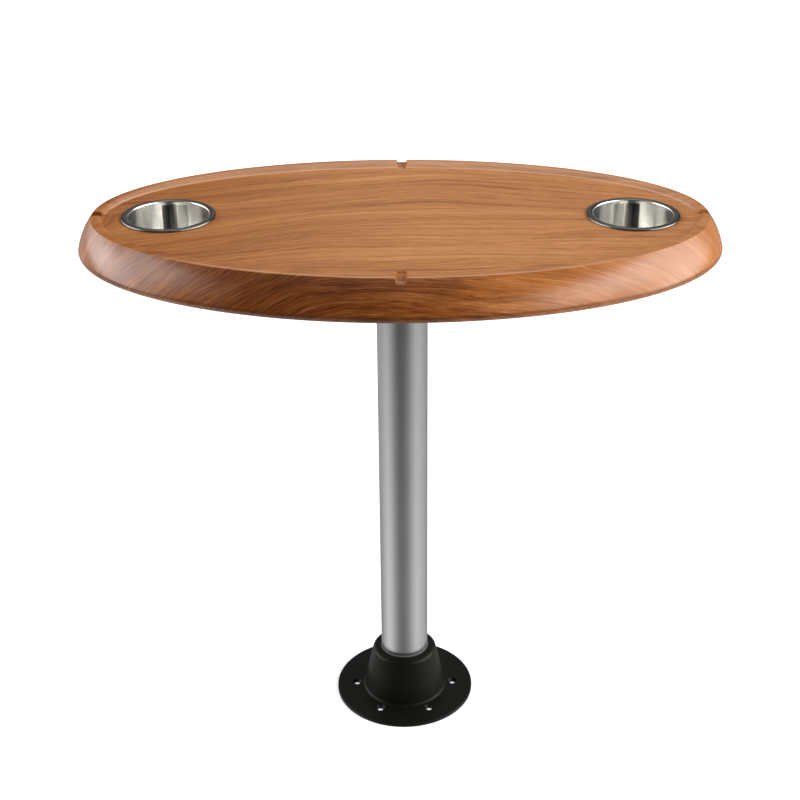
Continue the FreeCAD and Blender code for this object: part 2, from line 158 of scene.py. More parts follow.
def top_rows():
    """Rings of the skin as (A, B, z, zone), from the flat outwards, down, under the rim and up inside.
    Zone is 1 where a drain notch cuts the ring."""
    rows = [(A_BF - 9.0, B_BF - 9.0, Z_FLAT, 0), (A_BF - 4.35, B_BF - 4.35, Z_FLAT, 0), (A_BF - 4.15, B_BF - 4.15, Z_FLAT, 0),
            (A_BF - 4.0, B_BF - 4.0, Z_FLAT, 1), (A_BF - 3.85, B_BF - 3.85, Z_FLAT, 1)]
    # inner bevel with its hollow root and rounded top, then the land and the rounded crest
    pa = [(A_BF - 12.0, Z_FLAT), (A_BF, Z_FLAT), (A_BT, Z_CREST), (A_CR, Z_CREST)]
    pb = [(B_BF - 12.0, Z_FLAT), (B_BF, Z_FLAT), (B_BT, Z_CREST), (B_CR, Z_CREST)]

    def both(i, r, n, nxt=None):
        fa = fillet(pa[i - 1], pa[i], nxt[0] if nxt else pa[i + 1], r, n)
        fb = fillet(pb[i - 1], pb[i], nxt[1] if nxt else pb[i + 1], r, n)
        return [(a[0], b[0], (a[1] + b[1]) / 2, 1) for a, b in zip(fa, fb)]
    rows += both(1, R_ROOT, 6)
    for k in (0.3, 0.5, 0.7):
        rows.append((A_BF + (A_BT - A_BF) * k, B_BF + (B_BT - B_BF) * k, Z_FLAT + (Z_CREST - Z_FLAT) * k, 1))
    rows += both(2, R_CREST, 5)
    for k in (0.25, 0.5, 0.75):
        rows.append((A_BT + (A_CR - A_BT) * k, B_BT + (B_CR - B_BT) * k, Z_CREST, 1))
    down = slope(0.97)
    rows += both(3, R_CREST, 7, ((down[0], down[2]), (down[1], down[2])))
    # sloped outer face
    t = 0.955
    while t > 0.86:
        rows.append(slope(t) + (1,))
        t -= 0.012
    for t in (0.84, 0.80, 0.75, 0.70, 0.64, 0.58, 0.52, 0.46, 0.40, 0.34, 0.28, 0.22, 0.16, 0.10, 0.05, 0.0):
        rows.append(slope(t) + (0,))
    # rolled lower edge
    h = Z_WIDE - Z_BOTTOM
    for k in range(1, 9):
        a = math.pi / 2 * (1 - k / 8.0)
        d = IN_BOTTOM * (1 - math.sin(a))
        rows.append((A_WIDE - d, B_WIDE - d, Z_WIDE - h * math.cos(a), 0))
    a0, b0 = rows[-1][0], rows[-1][1]
    rows.append((a0 - 1.2, b0 - 1.2, Z_BOTTOM, 0))
    rows.append((a0 - SKIN + 0.7, b0 - SKIN + 0.7, Z_BOTTOM, 0))
    rows.append((a0 - SKIN + 0.2, b0 - SKIN + 0.2, Z_BOTTOM + 0.2, 0))
    rows.append((a0 - SKIN, b0 - SKIN, Z_BOTTOM + 0.7, 0))
    # inner wall of the skin, up to the lip and down to the flat's underside
    rows.append((A_WIDE - SKIN, B_WIDE - SKIN, Z_WIDE, 0))
    for t in (0.12, 0.25, 0.40, 0.55, 0.70):
        a, b, z = slope(t)
        rows.append((a - SKIN, b - SKIN, z, 0))
    zc = Z_CREST - SKIN
    rows.append((A_CR - SKIN * 0.9 + 0.6, B_CR - SKIN * 0.9 + 1.0, zc - 2.2, 2))
    rows.append((A_BF + 6.3, B_BF + 4.0, zc - 2.2, 2))
    rows.append((A_BF + 2.24, B_BF + 2.24, Z_CORE1, 0))
    rows.append((A_BF - 3.0, B_BF - 3.0, Z_CORE1, 0))
    return rows


def notch_z(u):
    """Height of the notch's profile at a distance u from its middle, or None outside it."""
    u = abs(u)
    k = (NOTCH_TOP - NOTCH_FLOOR) / 2.0 / (Z_CREST - Z_NOTCH)
    wall = math.atan2(1.0, k)                               # angle of the side wall above the floor
    tl = R_NOTCH / math.tan((math.pi - wall) / 2)
    hw = NOTCH_FLOOR / 2
    re = 0.45                                               # softened upper edge
    te = re * math.tan(wall / 2)
    if u >= NOTCH_TOP / 2 + te:
        return None
    if u <= hw - tl:
        return Z_NOTCH
    cx, cz = hw - tl, Z_NOTCH + R_NOTCH
    xe = cx + R_NOTCH * math.sin(wall)
    if u <= xe:
        return cz - math.sqrt(max(0.0, R_NOTCH ** 2 - (u - cx) ** 2))
    xt = NOTCH_TOP / 2 - te * math.cos(wall)
    if u <= xt:
        return Z_NOTCH + (u - hw) / k
    # convex rounding to the land
    x1 = NOTCH_TOP / 2 + te
    return Z_CREST - re + math.sqrt(max(0.0, re ** 2 - (x1 - u) ** 2))


U_LINES = [0.0, 1.0, 2.0, 2.9, 3.5, 3.9, 4.2, 4.5, 4.8, 5.05, 5.25, 5.42, 5.6, 5.8, 6.0, 6.2, 6.4, 6.55, 6.68, 6.8, 6.92, 7.05,
           7.25, 7.6, 8.2, 9.2, 10.6, 12.4]
U_EDGE = 14.5
M_QUAD = 132


def angle_lines():
    """Angular lines as functions of a ring's half axes, so that they run square across each notch."""
    lines = []
    for quad in range(4):
        # half of the notch at the start of the quadrant, the arc, and half of the notch at its end
        for i, u in enumerate(U_LINES):
            lines.append((quad, "a", u))
        for k in range(M_QUAD + 1):
            lines.append((quad, "m", k / M_QUAD))
        for u in reversed(U_LINES[1:]):
            lines.append((quad, "b", u))
    return lines


def ring_point(A, B, line):
    quad, kind, val = line
    horizontal = quad in (0, 2)                             # the notch at its start is on the X axis

    def th(u, on_x):
        return math.asin(u / B) if on_x else math.asin(u / A)
    if kind == "a":
        t = th(val, horizontal)
        u = val
    elif kind == "b":
        t = math.pi / 2 - th(val, not horizontal)
        u = -val
    else:
        t0, t1 = th(U_EDGE, horizontal), math.pi / 2 - th(U_EDGE, not horizontal)
        t = t0 + (t1 - t0) * val
        u = None
    t += quad * math.pi / 2
    return A * math.cos(t), B * math.sin(t), u


def tabletop():
    rows, lines = top_rows(), angle_lines()
    n = len(lines)
    verts, faces = [], []
    for A, B, z, zone in rows:
        for ln in lines:
            x, y, u = ring_point(A, B, ln)
            zz = z
            if u is not None and zone == 1:
                nz = notch_z(u)
                if nz is not None:
                    zz = min(z, nz)
            if u is not None and zone == 2:
                zz = z - 1.8 * max(0.0, 1.0 - max(0.0, abs(u) - 9.0) / 4.0)
            verts.append((x, y, zz))
    for j in range(len(rows) - 1):
        for i in range(n):
            k = (i + 1) % n
            faces.append((j * n + i, j * n + k, (j + 1) * n + k, (j + 1) * n + i))
    # cup holes, top and underside
    m = 96
    holes = {}
    for s in (-1, 1):
        for z in (Z_FLAT, Z_CORE1):
            base = len(verts)
            holes[(s, z)] = base
            for i in range(m):
                a = 2 * math.pi * i / m
                verts.append((s * X_CUP + R_SKIN_HOLE * math.cos(a), R_SKIN_HOLE * math.sin(a), z))
        t0, t1 = holes[(s, Z_FLAT)], holes[(s, Z_CORE1)]
        for i in range(m):
            k = (i + 1) % m
            faces.append((t0 + i, t0 + k, t1 + k, t1 + i))
    me = bpy.data.meshes.new("tabletop_skin")
    me.from_pydata([(x * MM, y * MM, z * MM) for x, y, z in verts], [], faces)
    bm = bmesh.new()
    bm.from_mesh(me)
    bm.verts.ensure_lookup_table()
    last = (len(rows) - 1) * n

    def loop_edges(ids):
        out = []
        for a, b in zip(ids, ids[1:] + ids[:1]):
            e = bm.edges.get((bm.verts[a], bm.verts[b])) or bm.edges.new((bm.verts[a], bm.verts[b]))
            out.append(e)
        return out
    for z, ring in ((Z_FLAT, list(range(n))), (Z_CORE1, list(range(last, last + n)))):
        es = loop_edges(ring)
        for s in (-1, 1):
            h = holes[(s, z)]
            es += loop_edges(list(range(h, h + m)))
        bmesh.ops.triangle_fill(bm, use_beauty=True, use_dissolve=False, edges=es)
    bmesh.ops.remove_doubles(bm, verts=bm.verts, dist=1e-7)
    bmesh.ops.recalc_face_normals(bm, faces=bm.faces)
    bm.to_mesh(me)
    bm.free()
    for p in me.polygons:
        p.use_smooth = True
    ob = bpy.data.objects.new("tabletop_skin", me)
    scene.collection.objects.link(ob)
    return ob


# ------------------------------------------------------------------ cups
Z_HEM = Z_FLAT + T_SEAL
Z_CUP_IN = Z_HEM + H_RIM - CUP_DEPTH
R_CUP_BOT = R_CUP_IN - CUP_DRAFT
R_KN = 7.0


def bead(cr, cz, a, b, r1, t, n=10):
    """The rolled rim's three tangent arcs, from the outside in."""
    big = (a * a - 2 * a * r1 + b * b) / (2 * (b - r1))
    cx, cy = a - r1, -(big - b)
    w = math.degrees(math.atan2(-cy, cx))
    ro, ri = big - t, r1 - t
    out = arc(cr + cx, cz, ri, 0, w, 6)
    out += arc(cr, cz + cy, ro, w, 180 - w, n)[1:]
    out += arc(cr - cx, cz, ri, 180 - w, 180, 6)[1:]
    return out


def cup_profile():
    cr, a = (R_RIM + R_CUP_IN) / 2, (R_RIM - R_CUP_IN) / 2
    zk = Z_CUP_IN + R_KN
    p = bead(cr, Z_HEM, a, H_RIM, 1.8, 0.0)
    for k in range(1, 8):
        f = k / 8.0
        p.append((R_CUP_IN + (R_CUP_BOT - R_CUP_IN) * f, Z_HEM + (zk - Z_HEM) * f))
    p += arc(R_CUP_BOT - R_KN, zk, R_KN, 0, -90, 8)
    for r in (30.0, 22.0, 14.0, 7.0, 2.0, 0.0):
        p.append((r, Z_CUP_IN))
    t = T_CUP
    p.append((0.0, Z_CUP_IN - t))
    p += [(r, Z_CUP_IN - t) for r in (2.0, 14.0, 28.0)]
    p += list(reversed(arc(R_CUP_BOT - R_KN, zk, R_KN + t, 0, -90, 8)))
    p.append((R_CUP_IN + t, Z_HEM))
    und = bead(cr, Z_HEM, a, H_RIM, 1.8, t)
    p += list(reversed(und))[1:]
    return p


def cup(name, s):
    ob = lathe(name, cup_profile(), 180, s * X_CUP, 0.0)
    sharpen(ob, 50)
    weighted(ob)
    return ob


# ------------------------------------------------------------------ pedestal tube
R_TUBE, T_TUBE, R_MOUTH, R_END, NECK, Z_TIP = 31.25, 2.0, 29.0, 27.9, 4.5, 9.0
Z_MOUTH, Z_FACE = 69.4, 653.3


def tube_profile():
    def taper(z):
        return R_END + (R_MOUTH - R_END) * (z - Z_TIP) / (Z_MOUTH - Z_TIP)
    zm = Z_MOUTH + 0.9
    rm = taper(zm)
    low = [(R_END - 0.5, Z_TIP), (R_END, Z_TIP + 0.5)]
    for k in range(1, 8):
        z = Z_TIP + (zm - Z_TIP) * k / 8.0
        low.append((taper(z), z))
    low.append((rm, zm))
    sl = (R_MOUTH - R_END) / (Z_MOUTH - Z_TIP)
    for k in range(1, 13):
        f = k / 12.0
        h00, h10 = 2 * f ** 3 - 3 * f ** 2 + 1, f ** 3 - 2 * f ** 2 + f
        h01 = -2 * f ** 3 + 3 * f ** 2
        low.append((h00 * rm + h10 * sl * NECK + h01 * R_TUBE, zm + NECK * f))
    z0, z1 = low[-1][1], Z_FACE - low[-1][1]
    mid = [(R_TUBE, z0 + (z1 - z0) * k / 20.0) for k in range(1, 20)]
    high = [(r, Z_FACE - z) for r, z in reversed(low)]
    outer = low + mid + high
    inner = [(r - T_TUBE, z) for r, z in reversed(outer[1:-1])]
    return outer + [(R_END - T_TUBE + 0.4, Z_FACE - Z_TIP)] + inner + [(R_END - T_TUBE + 0.4, Z_TIP)]


# ------------------------------------------------------------------ shader helpers
class Graph:
    def __init__(self, name):
        self.mat = bpy.data.materials.new(name)
        self.mat.use_nodes = True
        self.nt = self.mat.node_tree
        self.nt.nodes.clear()
        self.out = self.nt.nodes.new("ShaderNodeOutputMaterial")
        self.bsdf = self.nt.nodes.new("ShaderNodeBsdfPrincipled")
        self.nt.links.new(self.bsdf.outputs[0], self.out.inputs["Surface"])
        self.obj = self.nt.nodes.new("ShaderNodeTexCoord").outputs["Object"]

    def link(self, a, b):
        self.nt.links.new(a, b)

    def feed(self, sock, v):
        if v is None:
            return
        if isinstance(v, bpy.types.NodeSocket):
            self.nt.links.new(v, sock)
        elif isinstance(v, (tuple, list)) and len(v) == 3 and sock.type == "RGBA":
            sock.default_value = (*v, 1.0)
        else:
            sock.default_value = v

    def math(self, op, a, b=None, c=None, clamp=False):
        n = self.nt.nodes.new("ShaderNodeMath")
        n.operation = op
        n.use_clamp = clamp
        for i, v in enumerate((a, b, c)):
            self.feed(n.inputs[i], v)
        return n.outputs[0]

    def vec(self, op, a, b=None, scale=None):
        n = self.nt.nodes.new("ShaderNodeVectorMath")
        n.operation = op
        self.feed(n.inputs[0], a)
        if b is not None:
            self.feed(n.inputs[1], b)
        if scale is not None:
            self.feed(n.inputs["Scale"], scale)
        return n.outputs["Value"] if op in ("DOT_PRODUCT", "LENGTH", "DISTANCE") else n.outputs["Vector"]

    def split(self, v):
        n = self.nt.nodes.new("ShaderNodeSeparateXYZ")
        self.feed(n.inputs[0], v)
        return n.outputs

    def join(self, x=0.0, y=0.0, z=0.0):
        n = self.nt.nodes.new("ShaderNodeCombineXYZ")
        for i, v in enumerate((x, y, z)):
            self.feed(n.inputs[i], v)
        return n.outputs[0]

    def noise(self, v, scale=1.0, detail=2.0, rough=0.5, dist=0.0, out="Fac"):
        n = self.nt.nodes.new("ShaderNodeTexNoise")
        self.feed(n.inputs["Vector"], v)
        n.inputs["Scale"].default_value = scale
        n.inputs["Detail"].default_value = detail
        n.inputs["Roughness"].default_value = rough
        n.inputs["Distortion"].default_value = dist
        return n.outputs[out]

    def voronoi(self, v, scale=1.0, feature="F1", out="Distance"):
        n = self.nt.nodes.new("ShaderNodeTexVoronoi")
        n.feature = feature
        self.feed(n.inputs["Vector"], v)
        n.inputs["Scale"].default_value = scale
        return n.outputs[out]

    def remap(self, v, a, b, c=0.0, d=1.0, smooth=True):
        n = self.nt.nodes.new("ShaderNodeMapRange")
        n.interpolation_type = "SMOOTHSTEP" if smooth else "LINEAR"
        self.feed(n.inputs["Value"], v)
        n.inputs["From Min"].default_value = a
        n.inputs["From Max"].default_value = b
        n.inputs["To Min"].default_value = c
        n.inputs["To Max"].default_value = d
        return n.outputs["Result"]

    def mix(self, f, a, b, mode="MIX"):
        n = self.nt.nodes.new("ShaderNodeMix")
        n.data_type = "RGBA"
        n.blend_type = mode
        n.clamp_result = False
        self.feed(n.inputs[0], f)
        self.feed(n.inputs[6], a)
        self.feed(n.inputs[7], b)
        return n.outputs[2]

    def ramp(self, f, stops):
        n = self.nt.nodes.new("ShaderNodeValToRGB")
        self.feed(n.inputs[0], f)
        cr = n.color_ramp
        while len(cr.elements) < len(stops):
            cr.elements.new(0.5)
        for e, (p, c) in zip(cr.elements, stops):
            e.position = p
            e.color = (*c, 1.0)
        return n.outputs[0]

    def bump(self, h, strength=0.2, dist=0.0002, normal=None):
        n = self.nt.nodes.new("ShaderNodeBump")
        n.inputs["Strength"].default_value = strength
        n.inputs["Distance"].default_value = dist
        self.feed(n.inputs["Height"], h)
        if normal is not None:
            self.feed(n.inputs["Normal"], normal)
        return n.outputs[0]

    def set(self, **kw):
        for k, v in kw.items():
            self.feed(self.bsdf.inputs[k.replace("_", " ")], v)
        return self.mat


# ------------------------------------------------------------------ teak film
def soft_side(g, t, d):
    """Grows like t on the positive side and levels out on the other."""
    r = g.math("SQRT", g.math("ADD", g.math("MULTIPLY", t, t), d * d))
    return g.math("MULTIPLY", g.math("ADD", t, r), 0.5)


def teak(name, spec, dull):
    g = Graph(name)
    P = g.vec("SCALE", g.obj, scale=1000.0)
    x, y, z = g.split(P)
    # the film is drawn down over the sloped side, so the grain carries on square to the lip
    nrm = g.vec("NORMALIZE", g.join(g.math("MULTIPLY", x, 1e5 / A_WIDE ** 2), g.math("MULTIPLY", y, 1e5 / B_WIDE ** 2), 0.0))
    drop = g.math("MAXIMUM", g.math("SUBTRACT", 688.2, z), 0.0)
    off = g.vec("SCALE", nrm, scale=g.math("MULTIPLY", drop, 0.5))
    q = g.vec("ADD", P, off)
    u, v, _ = g.split(q)

    # slow waves of the grain
    wav = g.noise(g.join(g.math("MULTIPLY", u, 1 / 170.0), g.math("MULTIPLY", v, 1 / 75.0), 3.1), 1.0, 1.0, 0.4)
    wav2 = g.noise(g.join(g.math("MULTIPLY", u, 1 / 60.0), g.math("MULTIPLY", v, 1 / 22.0), 7.7), 1.0, 1.0, 0.5)
    v1 = g.math("ADD", v, g.math("MULTIPLY", g.math("SUBTRACT", wav, 0.5), 26.0))
    v1 = g.math("ADD", v1, g.math("MULTIPLY", g.math("SUBTRACT", wav2, 0.5), 4.0))
    # the grain bows over the middle of the top and dips at the front left
    right = soft_side(g, g.math("SUBTRACT", u, 30.0), 70.0)
    left = soft_side(g, g.math("SUBTRACT", 30.0, u), 70.0)
    dip = soft_side(g, g.math("SUBTRACT", -105.0, u), 30.0)
    ar = g.remap(v, -60.0, 70.0, 0.0, 0.30)
    al = g.remap(v, -90.0, 40.0, 0.03, 0.31)
    ak = g.math("MULTIPLY", g.remap(v, -150.0, -90.0, 0.22, 0.5), g.remap(v, -60.0, 25.0, 1.0, 0.0))
    w = g.math("ADD", v1, g.math("MULTIPLY", right, ar))
    w = g.math("ADD", w, g.math("MULTIPLY", left, al))
    w = g.math("ADD", w, g.math("MULTIPLY", dip, ak))

    def layer(lu, lw, seed, detail, rough, dist=0.0):
        vv = g.join(g.math("MULTIPLY", u, 1.0 / lu), g.math("MULTIPLY", w, 1.0 / lw), seed)
        return g.noise(vv, 1.0, detail, rough, dist)
    broad = layer(420.0, 34.0, 0.3, 2.0, 0.5)
    bands = layer(330.0, 8.0, 5.2, 2.0, 0.55, 0.25)
    streak = layer(240.0, 2.5, 9.4, 3.0, 0.62, 0.15)
    fibre = layer(26.0, 1.25, 14.6, 3.0, 0.70)
    pale = layer(170.0, 1.7, 41.7, 1.0, 0.5)
    pores = layer(11.0, 0.55, 21.3, 1.0, 0.5)
    dash = layer(20.0, 2.0, 33.1, 1.0, 0.5)
    # growth rings: each darkens slowly and ends sharply
    rw = g.math("ADD", g.math("MULTIPLY", w, 1.0 / 17.0), g.math("MULTIPLY", broad, 2.2))
    fr = g.math("FRACT", rw)
    ring = g.math("POWER", fr, 3.0)
    ring = g.math("MULTIPLY", ring, g.remap(fr, 0.93, 1.0, 1.0, 0.0))

    tone = g.math("MULTIPLY", g.math("SUBTRACT", broad, 0.5), 0.85)
    tone = g.math("ADD", tone, g.math("MULTIPLY", g.math("SUBTRACT", bands, 0.5), 0.72))
    tone = g.math("ADD", tone, g.math("MULTIPLY", g.math("SUBTRACT", streak, 0.5), 0.58))
    tone = g.math("ADD", tone, g.math("MULTIPLY", g.math("SUBTRACT", fibre, 0.5), 1.30))
    tone = g.math("ADD", tone, g.math("MULTIPLY", g.remap(pale, 0.60, 0.72), 0.26))
    tone = g.math("SUBTRACT", tone, g.math("MULTIPLY", g.remap(dash, 0.66, 0.78), 0.24))
    tone = g.math("SUBTRACT", tone, g.math("MULTIPLY", ring, 0.12))
    tone = g.math("ADD", tone, 0.52)
    pore = g.remap(pores, 0.60, 0.74, 0.0, 1.0)
    col = g.ramp(tone, [(0.0, (0.225, 0.062, 0.010)), (0.28, (0.370, 0.124, 0.020)), (0.5, (0.505, 0.188, 0.042)),
                        (0.72, (0.61, 0.250, 0.066)), (1.0, (0.72, 0.335, 0.115))])
    # painted shade along the board: the colour darkens and reddens towards the left end, where less light falls, and is
    # full in the middle
    painted_light_drift = g.ramp(g.remap(u, -380.0, 380.0, 0.0, 1.0, smooth=False),
                   [(0.0, (0.76, 0.68, 0.60)), (0.26, (0.83, 0.78, 0.72)), (0.50, (1.0, 1.0, 1.0)), (1.0, (0.97, 0.92, 0.86))])
    col = g.mix(1.0, col, painted_light_drift, "MULTIPLY")
    col = g.mix(g.math("MULTIPLY", pore, 0.30), col, (0.12, 0.035, 0.010))
    # where the film is stretched over the side it is a little deeper and redder; most of the darkening it gets below is
    # painted shade
    out = g.math("SQRT", g.math("ADD", g.math("POWER", g.math("DIVIDE", x, A_CR), 2.0), g.math("POWER", g.math("DIVIDE", y, B_CR), 2.0)))
    up = g.split(g.nt.nodes.new("ShaderNodeNewGeometry").outputs["True Normal"])[2]
    side = g.math("MULTIPLY", g.remap(out, 1.0, 1.006), g.remap(up, 0.93, 0.98, 1.0, 0.0))
    # a painted highlight: a pale line along the rounding of the lip's crest at the front
    painted_crest_highlight = g.math("MULTIPLY", g.remap(out, 0.983, 0.989), g.remap(out, 0.999, 1.004, 1.0, 0.0))
    painted_crest_highlight = g.math("MULTIPLY", painted_crest_highlight, g.math("MULTIPLY", g.remap(g.math("ABSOLUTE", x), 190.0, 290.0, 0.30, 0.0), g.remap(y, -60.0, 0.0, 1.0, 0.0)))
    col = g.mix(painted_crest_highlight, col, (0.80, 0.50, 0.33))
    # on the back half the bevel behind the table surface gets a paler painted highlight, with a light painted highlight
    # line along its foot and a dark painted shade line on the outer edge
    foot = g.math("SQRT", g.math("ADD", g.math("POWER", g.math("DIVIDE", x, A_BF), 2.0), g.math("POWER", g.math("DIVIDE", y, B_BF), 2.0)))
    back = g.remap(y, -10.0, 50.0)
    painted_bevel_highlight = g.math("MULTIPLY", g.remap(foot, 1.0, 1.004), g.remap(out, 0.970, 0.985, 1.0, 0.0))
    col = g.mix(g.math("MULTIPLY", g.math("MULTIPLY", painted_bevel_highlight, back), 0.30), col, (0.66, 0.42, 0.30))
    # painted highlight line along the bevel's foot, on the back only
    line = g.remap(g.math("ABSOLUTE", g.math("SUBTRACT", foot, 1.0)), 0.003, 0.007, 1.0, 0.0)
    col = g.mix(g.math("MULTIPLY", g.math("MULTIPLY", line, back), 0.45), col, (0.84, 0.56, 0.38))
    # painted shade line along the lip's outer edge, on the back only
    rim = g.remap(g.math("ABSOLUTE", g.math("SUBTRACT", out, 1.002)), 0.004, 0.009, 1.0, 0.0)
    col = g.mix(g.math("MULTIPLY", g.math("MULTIPLY", rim, back), 0.55), col, (0.13, 0.045, 0.02))
    # painted shade inside the two end notches, heavier in the left one
    painted_notch_shade = g.math("MULTIPLY", g.remap(g.math("ABSOLUTE", y), 7.6, 8.4, 1.0, 0.0), g.remap(z, Z_CREST - 0.8, Z_CREST - 0.3, 1.0, 0.0))
    painted_notch_shade = g.math("MULTIPLY", painted_notch_shade, g.remap(z, Z_NOTCH - 0.9, Z_NOTCH - 0.3))
    painted_notch_shade = g.math("MULTIPLY", painted_notch_shade, g.math("MULTIPLY", g.remap(out, 0.972, 0.978), g.remap(x, -340.0, 340.0, 0.70, 0.30)))
    col = g.mix(painted_notch_shade, col, (0.12, 0.030, 0.012))
    # painted shade on the side: a ramp along the board darkens it most at the front left and least at the ends; on the
    # right the grain is first evened towards its mean colour where the side takes a highlight
    deeper_film_and_shade = g.ramp(g.remap(u, -380.0, 380.0, 0.0, 1.0, smooth=False),
                  [(0.0, (0.80, 0.72, 0.68)), (0.10, (0.72, 0.62, 0.57)), (0.20, (0.50, 0.41, 0.37)), (0.28, (0.34, 0.26, 0.22)),
                   (0.36, (0.31, 0.235, 0.20)), (0.44, (0.31, 0.23, 0.18)), (0.52, (0.43, 0.34, 0.30)), (0.58, (0.50, 0.40, 0.34)),
                   (0.66, (0.82, 0.72, 0.66)), (0.76, (0.92, 0.84, 0.79)), (0.90, (0.90, 0.83, 0.74)), (1.0, (0.90, 0.82, 0.58))])
    col = g.mix(g.math("MULTIPLY", side, g.remap(u, 120.0, 230.0, 0.0, 0.38)), col, (0.505, 0.188, 0.042))
    col = g.mix(side, col, g.mix(1.0, col, deeper_film_and_shade, "MULTIPLY"))
    # there the short fibres stand out more, and the rolled lower edge gets painted shade
    fine = g.math("MULTIPLY_ADD", g.math("MULTIPLY", g.math("SUBTRACT", fibre, 0.5), side), g.remap(u, 60.0, 180.0, 1.5, 0.0), 1.0)
    col = g.mix(1.0, col, g.join(fine, fine, fine), "MULTIPLY")
    painted_hem_shade = g.math("MULTIPLY", side, g.remap(z, Z_WIDE + 0.5, Z_WIDE + 3.5, 1.0, 0.0))
    col = g.mix(g.math("MULTIPLY", painted_hem_shade, 0.45), col, (0.05, 0.018, 0.008))
    if dull > 0.0:
        # a faint white haze, weaker at the left end, is mixed into the colour and the whole dimmed a little: a painted
        # sheen on the duller faces
        col = g.mix(1.0, g.mix(g.remap(u, -330.0, -20.0, 0.018, 0.045), col, (1.0, 1.0, 1.0)), (0.92, 0.925, 0.93), "MULTIPLY")
    rough = g.math("ADD", 0.23 + dull, g.math("MULTIPLY", g.math("SUBTRACT", 0.5, fibre), 0.20))
    height = g.math("SUBTRACT", g.math("ADD", g.math("MULTIPLY", streak, 0.6), g.math("MULTIPLY", fibre, 0.3)),
                    g.math("MULTIPLY", pore, 0.5))
    g.set(Base_Color=col, Roughness=rough, Specular_IOR_Level=spec)
    g.feed(g.bsdf.inputs["Normal"], g.bump(height, 0.40, 0.00012))
    return g.mat


# ------------------------------------------------------------------ other finishes
def brushed_steel(name):
    g = Graph(name)
    P = g.vec("SCALE", g.obj, scale=1000.0)
    x, y, z = g.split(P)
    # distance from the cup's own axis and height give lines that run round the cup
    cx = g.math("SUBTRACT", g.math("ABSOLUTE", x), X_CUP)
    r = g.math("SQRT", g.math("ADD", g.math("MULTIPLY", cx, cx), g.math("MULTIPLY", y, y)))
    ang = g.math("ARCTAN2", y, cx)
    along = g.math("MULTIPLY", ang, 6.0)
    lines = g.noise(g.join(along, g.math("MULTIPLY", z, 2.6), g.math("MULTIPLY", r, 2.6)), 1.0, 3.0, 0.7)
    fine = g.noise(g.join(g.math("MULTIPLY", along, 3.0), g.math("MULTIPLY", z, 9.0), g.math("MULTIPLY", r, 9.0)), 1.0, 2.0, 0.6)
    smear = g.noise(g.join(g.math("MULTIPLY", ang, 1.6), g.math("MULTIPLY", z, 0.10), g.math("MULTIPLY", r, 0.10)), 1.0, 3.0, 0.6)
    k = g.math("ADD", g.math("MULTIPLY", lines, 0.6), g.math("MULTIPLY", fine, 0.4))
    # the rolled rim is polished, the wall and floor are brushed
    rim = g.math("MULTIPLY", g.remap(r, R_CUP_IN + 0.2, R_CUP_IN + 1.2), g.remap(z, Z_FLAT + 0.2, Z_FLAT + 1.0))
    col = g.ramp(g.math("ADD", g.math("MULTIPLY", k, 0.7), g.math("MULTIPLY", smear, 0.3)),
                 [(0.25, (0.85, 0.84, 0.80)), (0.75, (0.95, 0.94, 0.905))])
    # painted reflections: dark bars that run down the inner wall at set places across the cup, where the wall mirrors
    # the dark room
    painted_reflection_bars = 0.0
    for mid, depth in ((1.5, 0.58), (10.0, 0.90), (-10.0, 0.50)):
        part = g.remap(g.math("ABSOLUTE", g.math("SUBTRACT", cx, mid)), 3.9 if mid > 0 else 5.5, 5.3 if mid > 0 else 7.5, 1.0, 0.0)
        painted_reflection_bars = g.math("MAXIMUM", painted_reflection_bars, g.math("MULTIPLY", part, depth))
    inside = g.math("MULTIPLY", g.remap(r, R_CUP_IN - 5.0, R_CUP_IN - 3.5), g.remap(r, R_CUP_IN + 0.3, R_CUP_IN + 0.6, 1.0, 0.0))
    painted_reflection_bars = g.math("MULTIPLY", g.math("MULTIPLY", painted_reflection_bars, inside), g.remap(z, Z_FLAT - 3.0, Z_FLAT - 1.5, 1.0, 0.0))
    col = g.mix(painted_reflection_bars, col, (0.05, 0.05, 0.045))
    # the rolled rim's colour is cut to about a fifth: painted shade for the dark surroundings it mirrors
    col = g.mix(rim, col, g.mix(1.0, col, (0.22, 0.212, 0.195), "MULTIPLY"))
    rough = g.math("ADD", g.remap(k, 0.3, 0.7, 0.19, 0.27, smooth=False), g.math("MULTIPLY", g.math("SUBTRACT", smear, 0.5), 0.08))
    rough = g.math("ADD", g.math("MULTIPLY", rough, g.math("SUBTRACT", 1.0, rim)), g.math("MULTIPLY", rim, g.remap(k, 0.3, 0.7, 0.09, 0.13, smooth=False)))
    g.set(Base_Color=col, Metallic=1.0, Roughness=rough, Anisotropic=0.8, Anisotropic_Rotation=0.25)
    tn = g.nt.nodes.new("ShaderNodeTangent")
    tn.direction_type = "RADIAL"
    tn.axis = "Z"
    g.link(tn.outputs[0], g.bsdf.inputs["Tangent"])
    g.feed(g.bsdf.inputs["Normal"], g.bump(k, 0.08, 0.00004))
    return g.mat


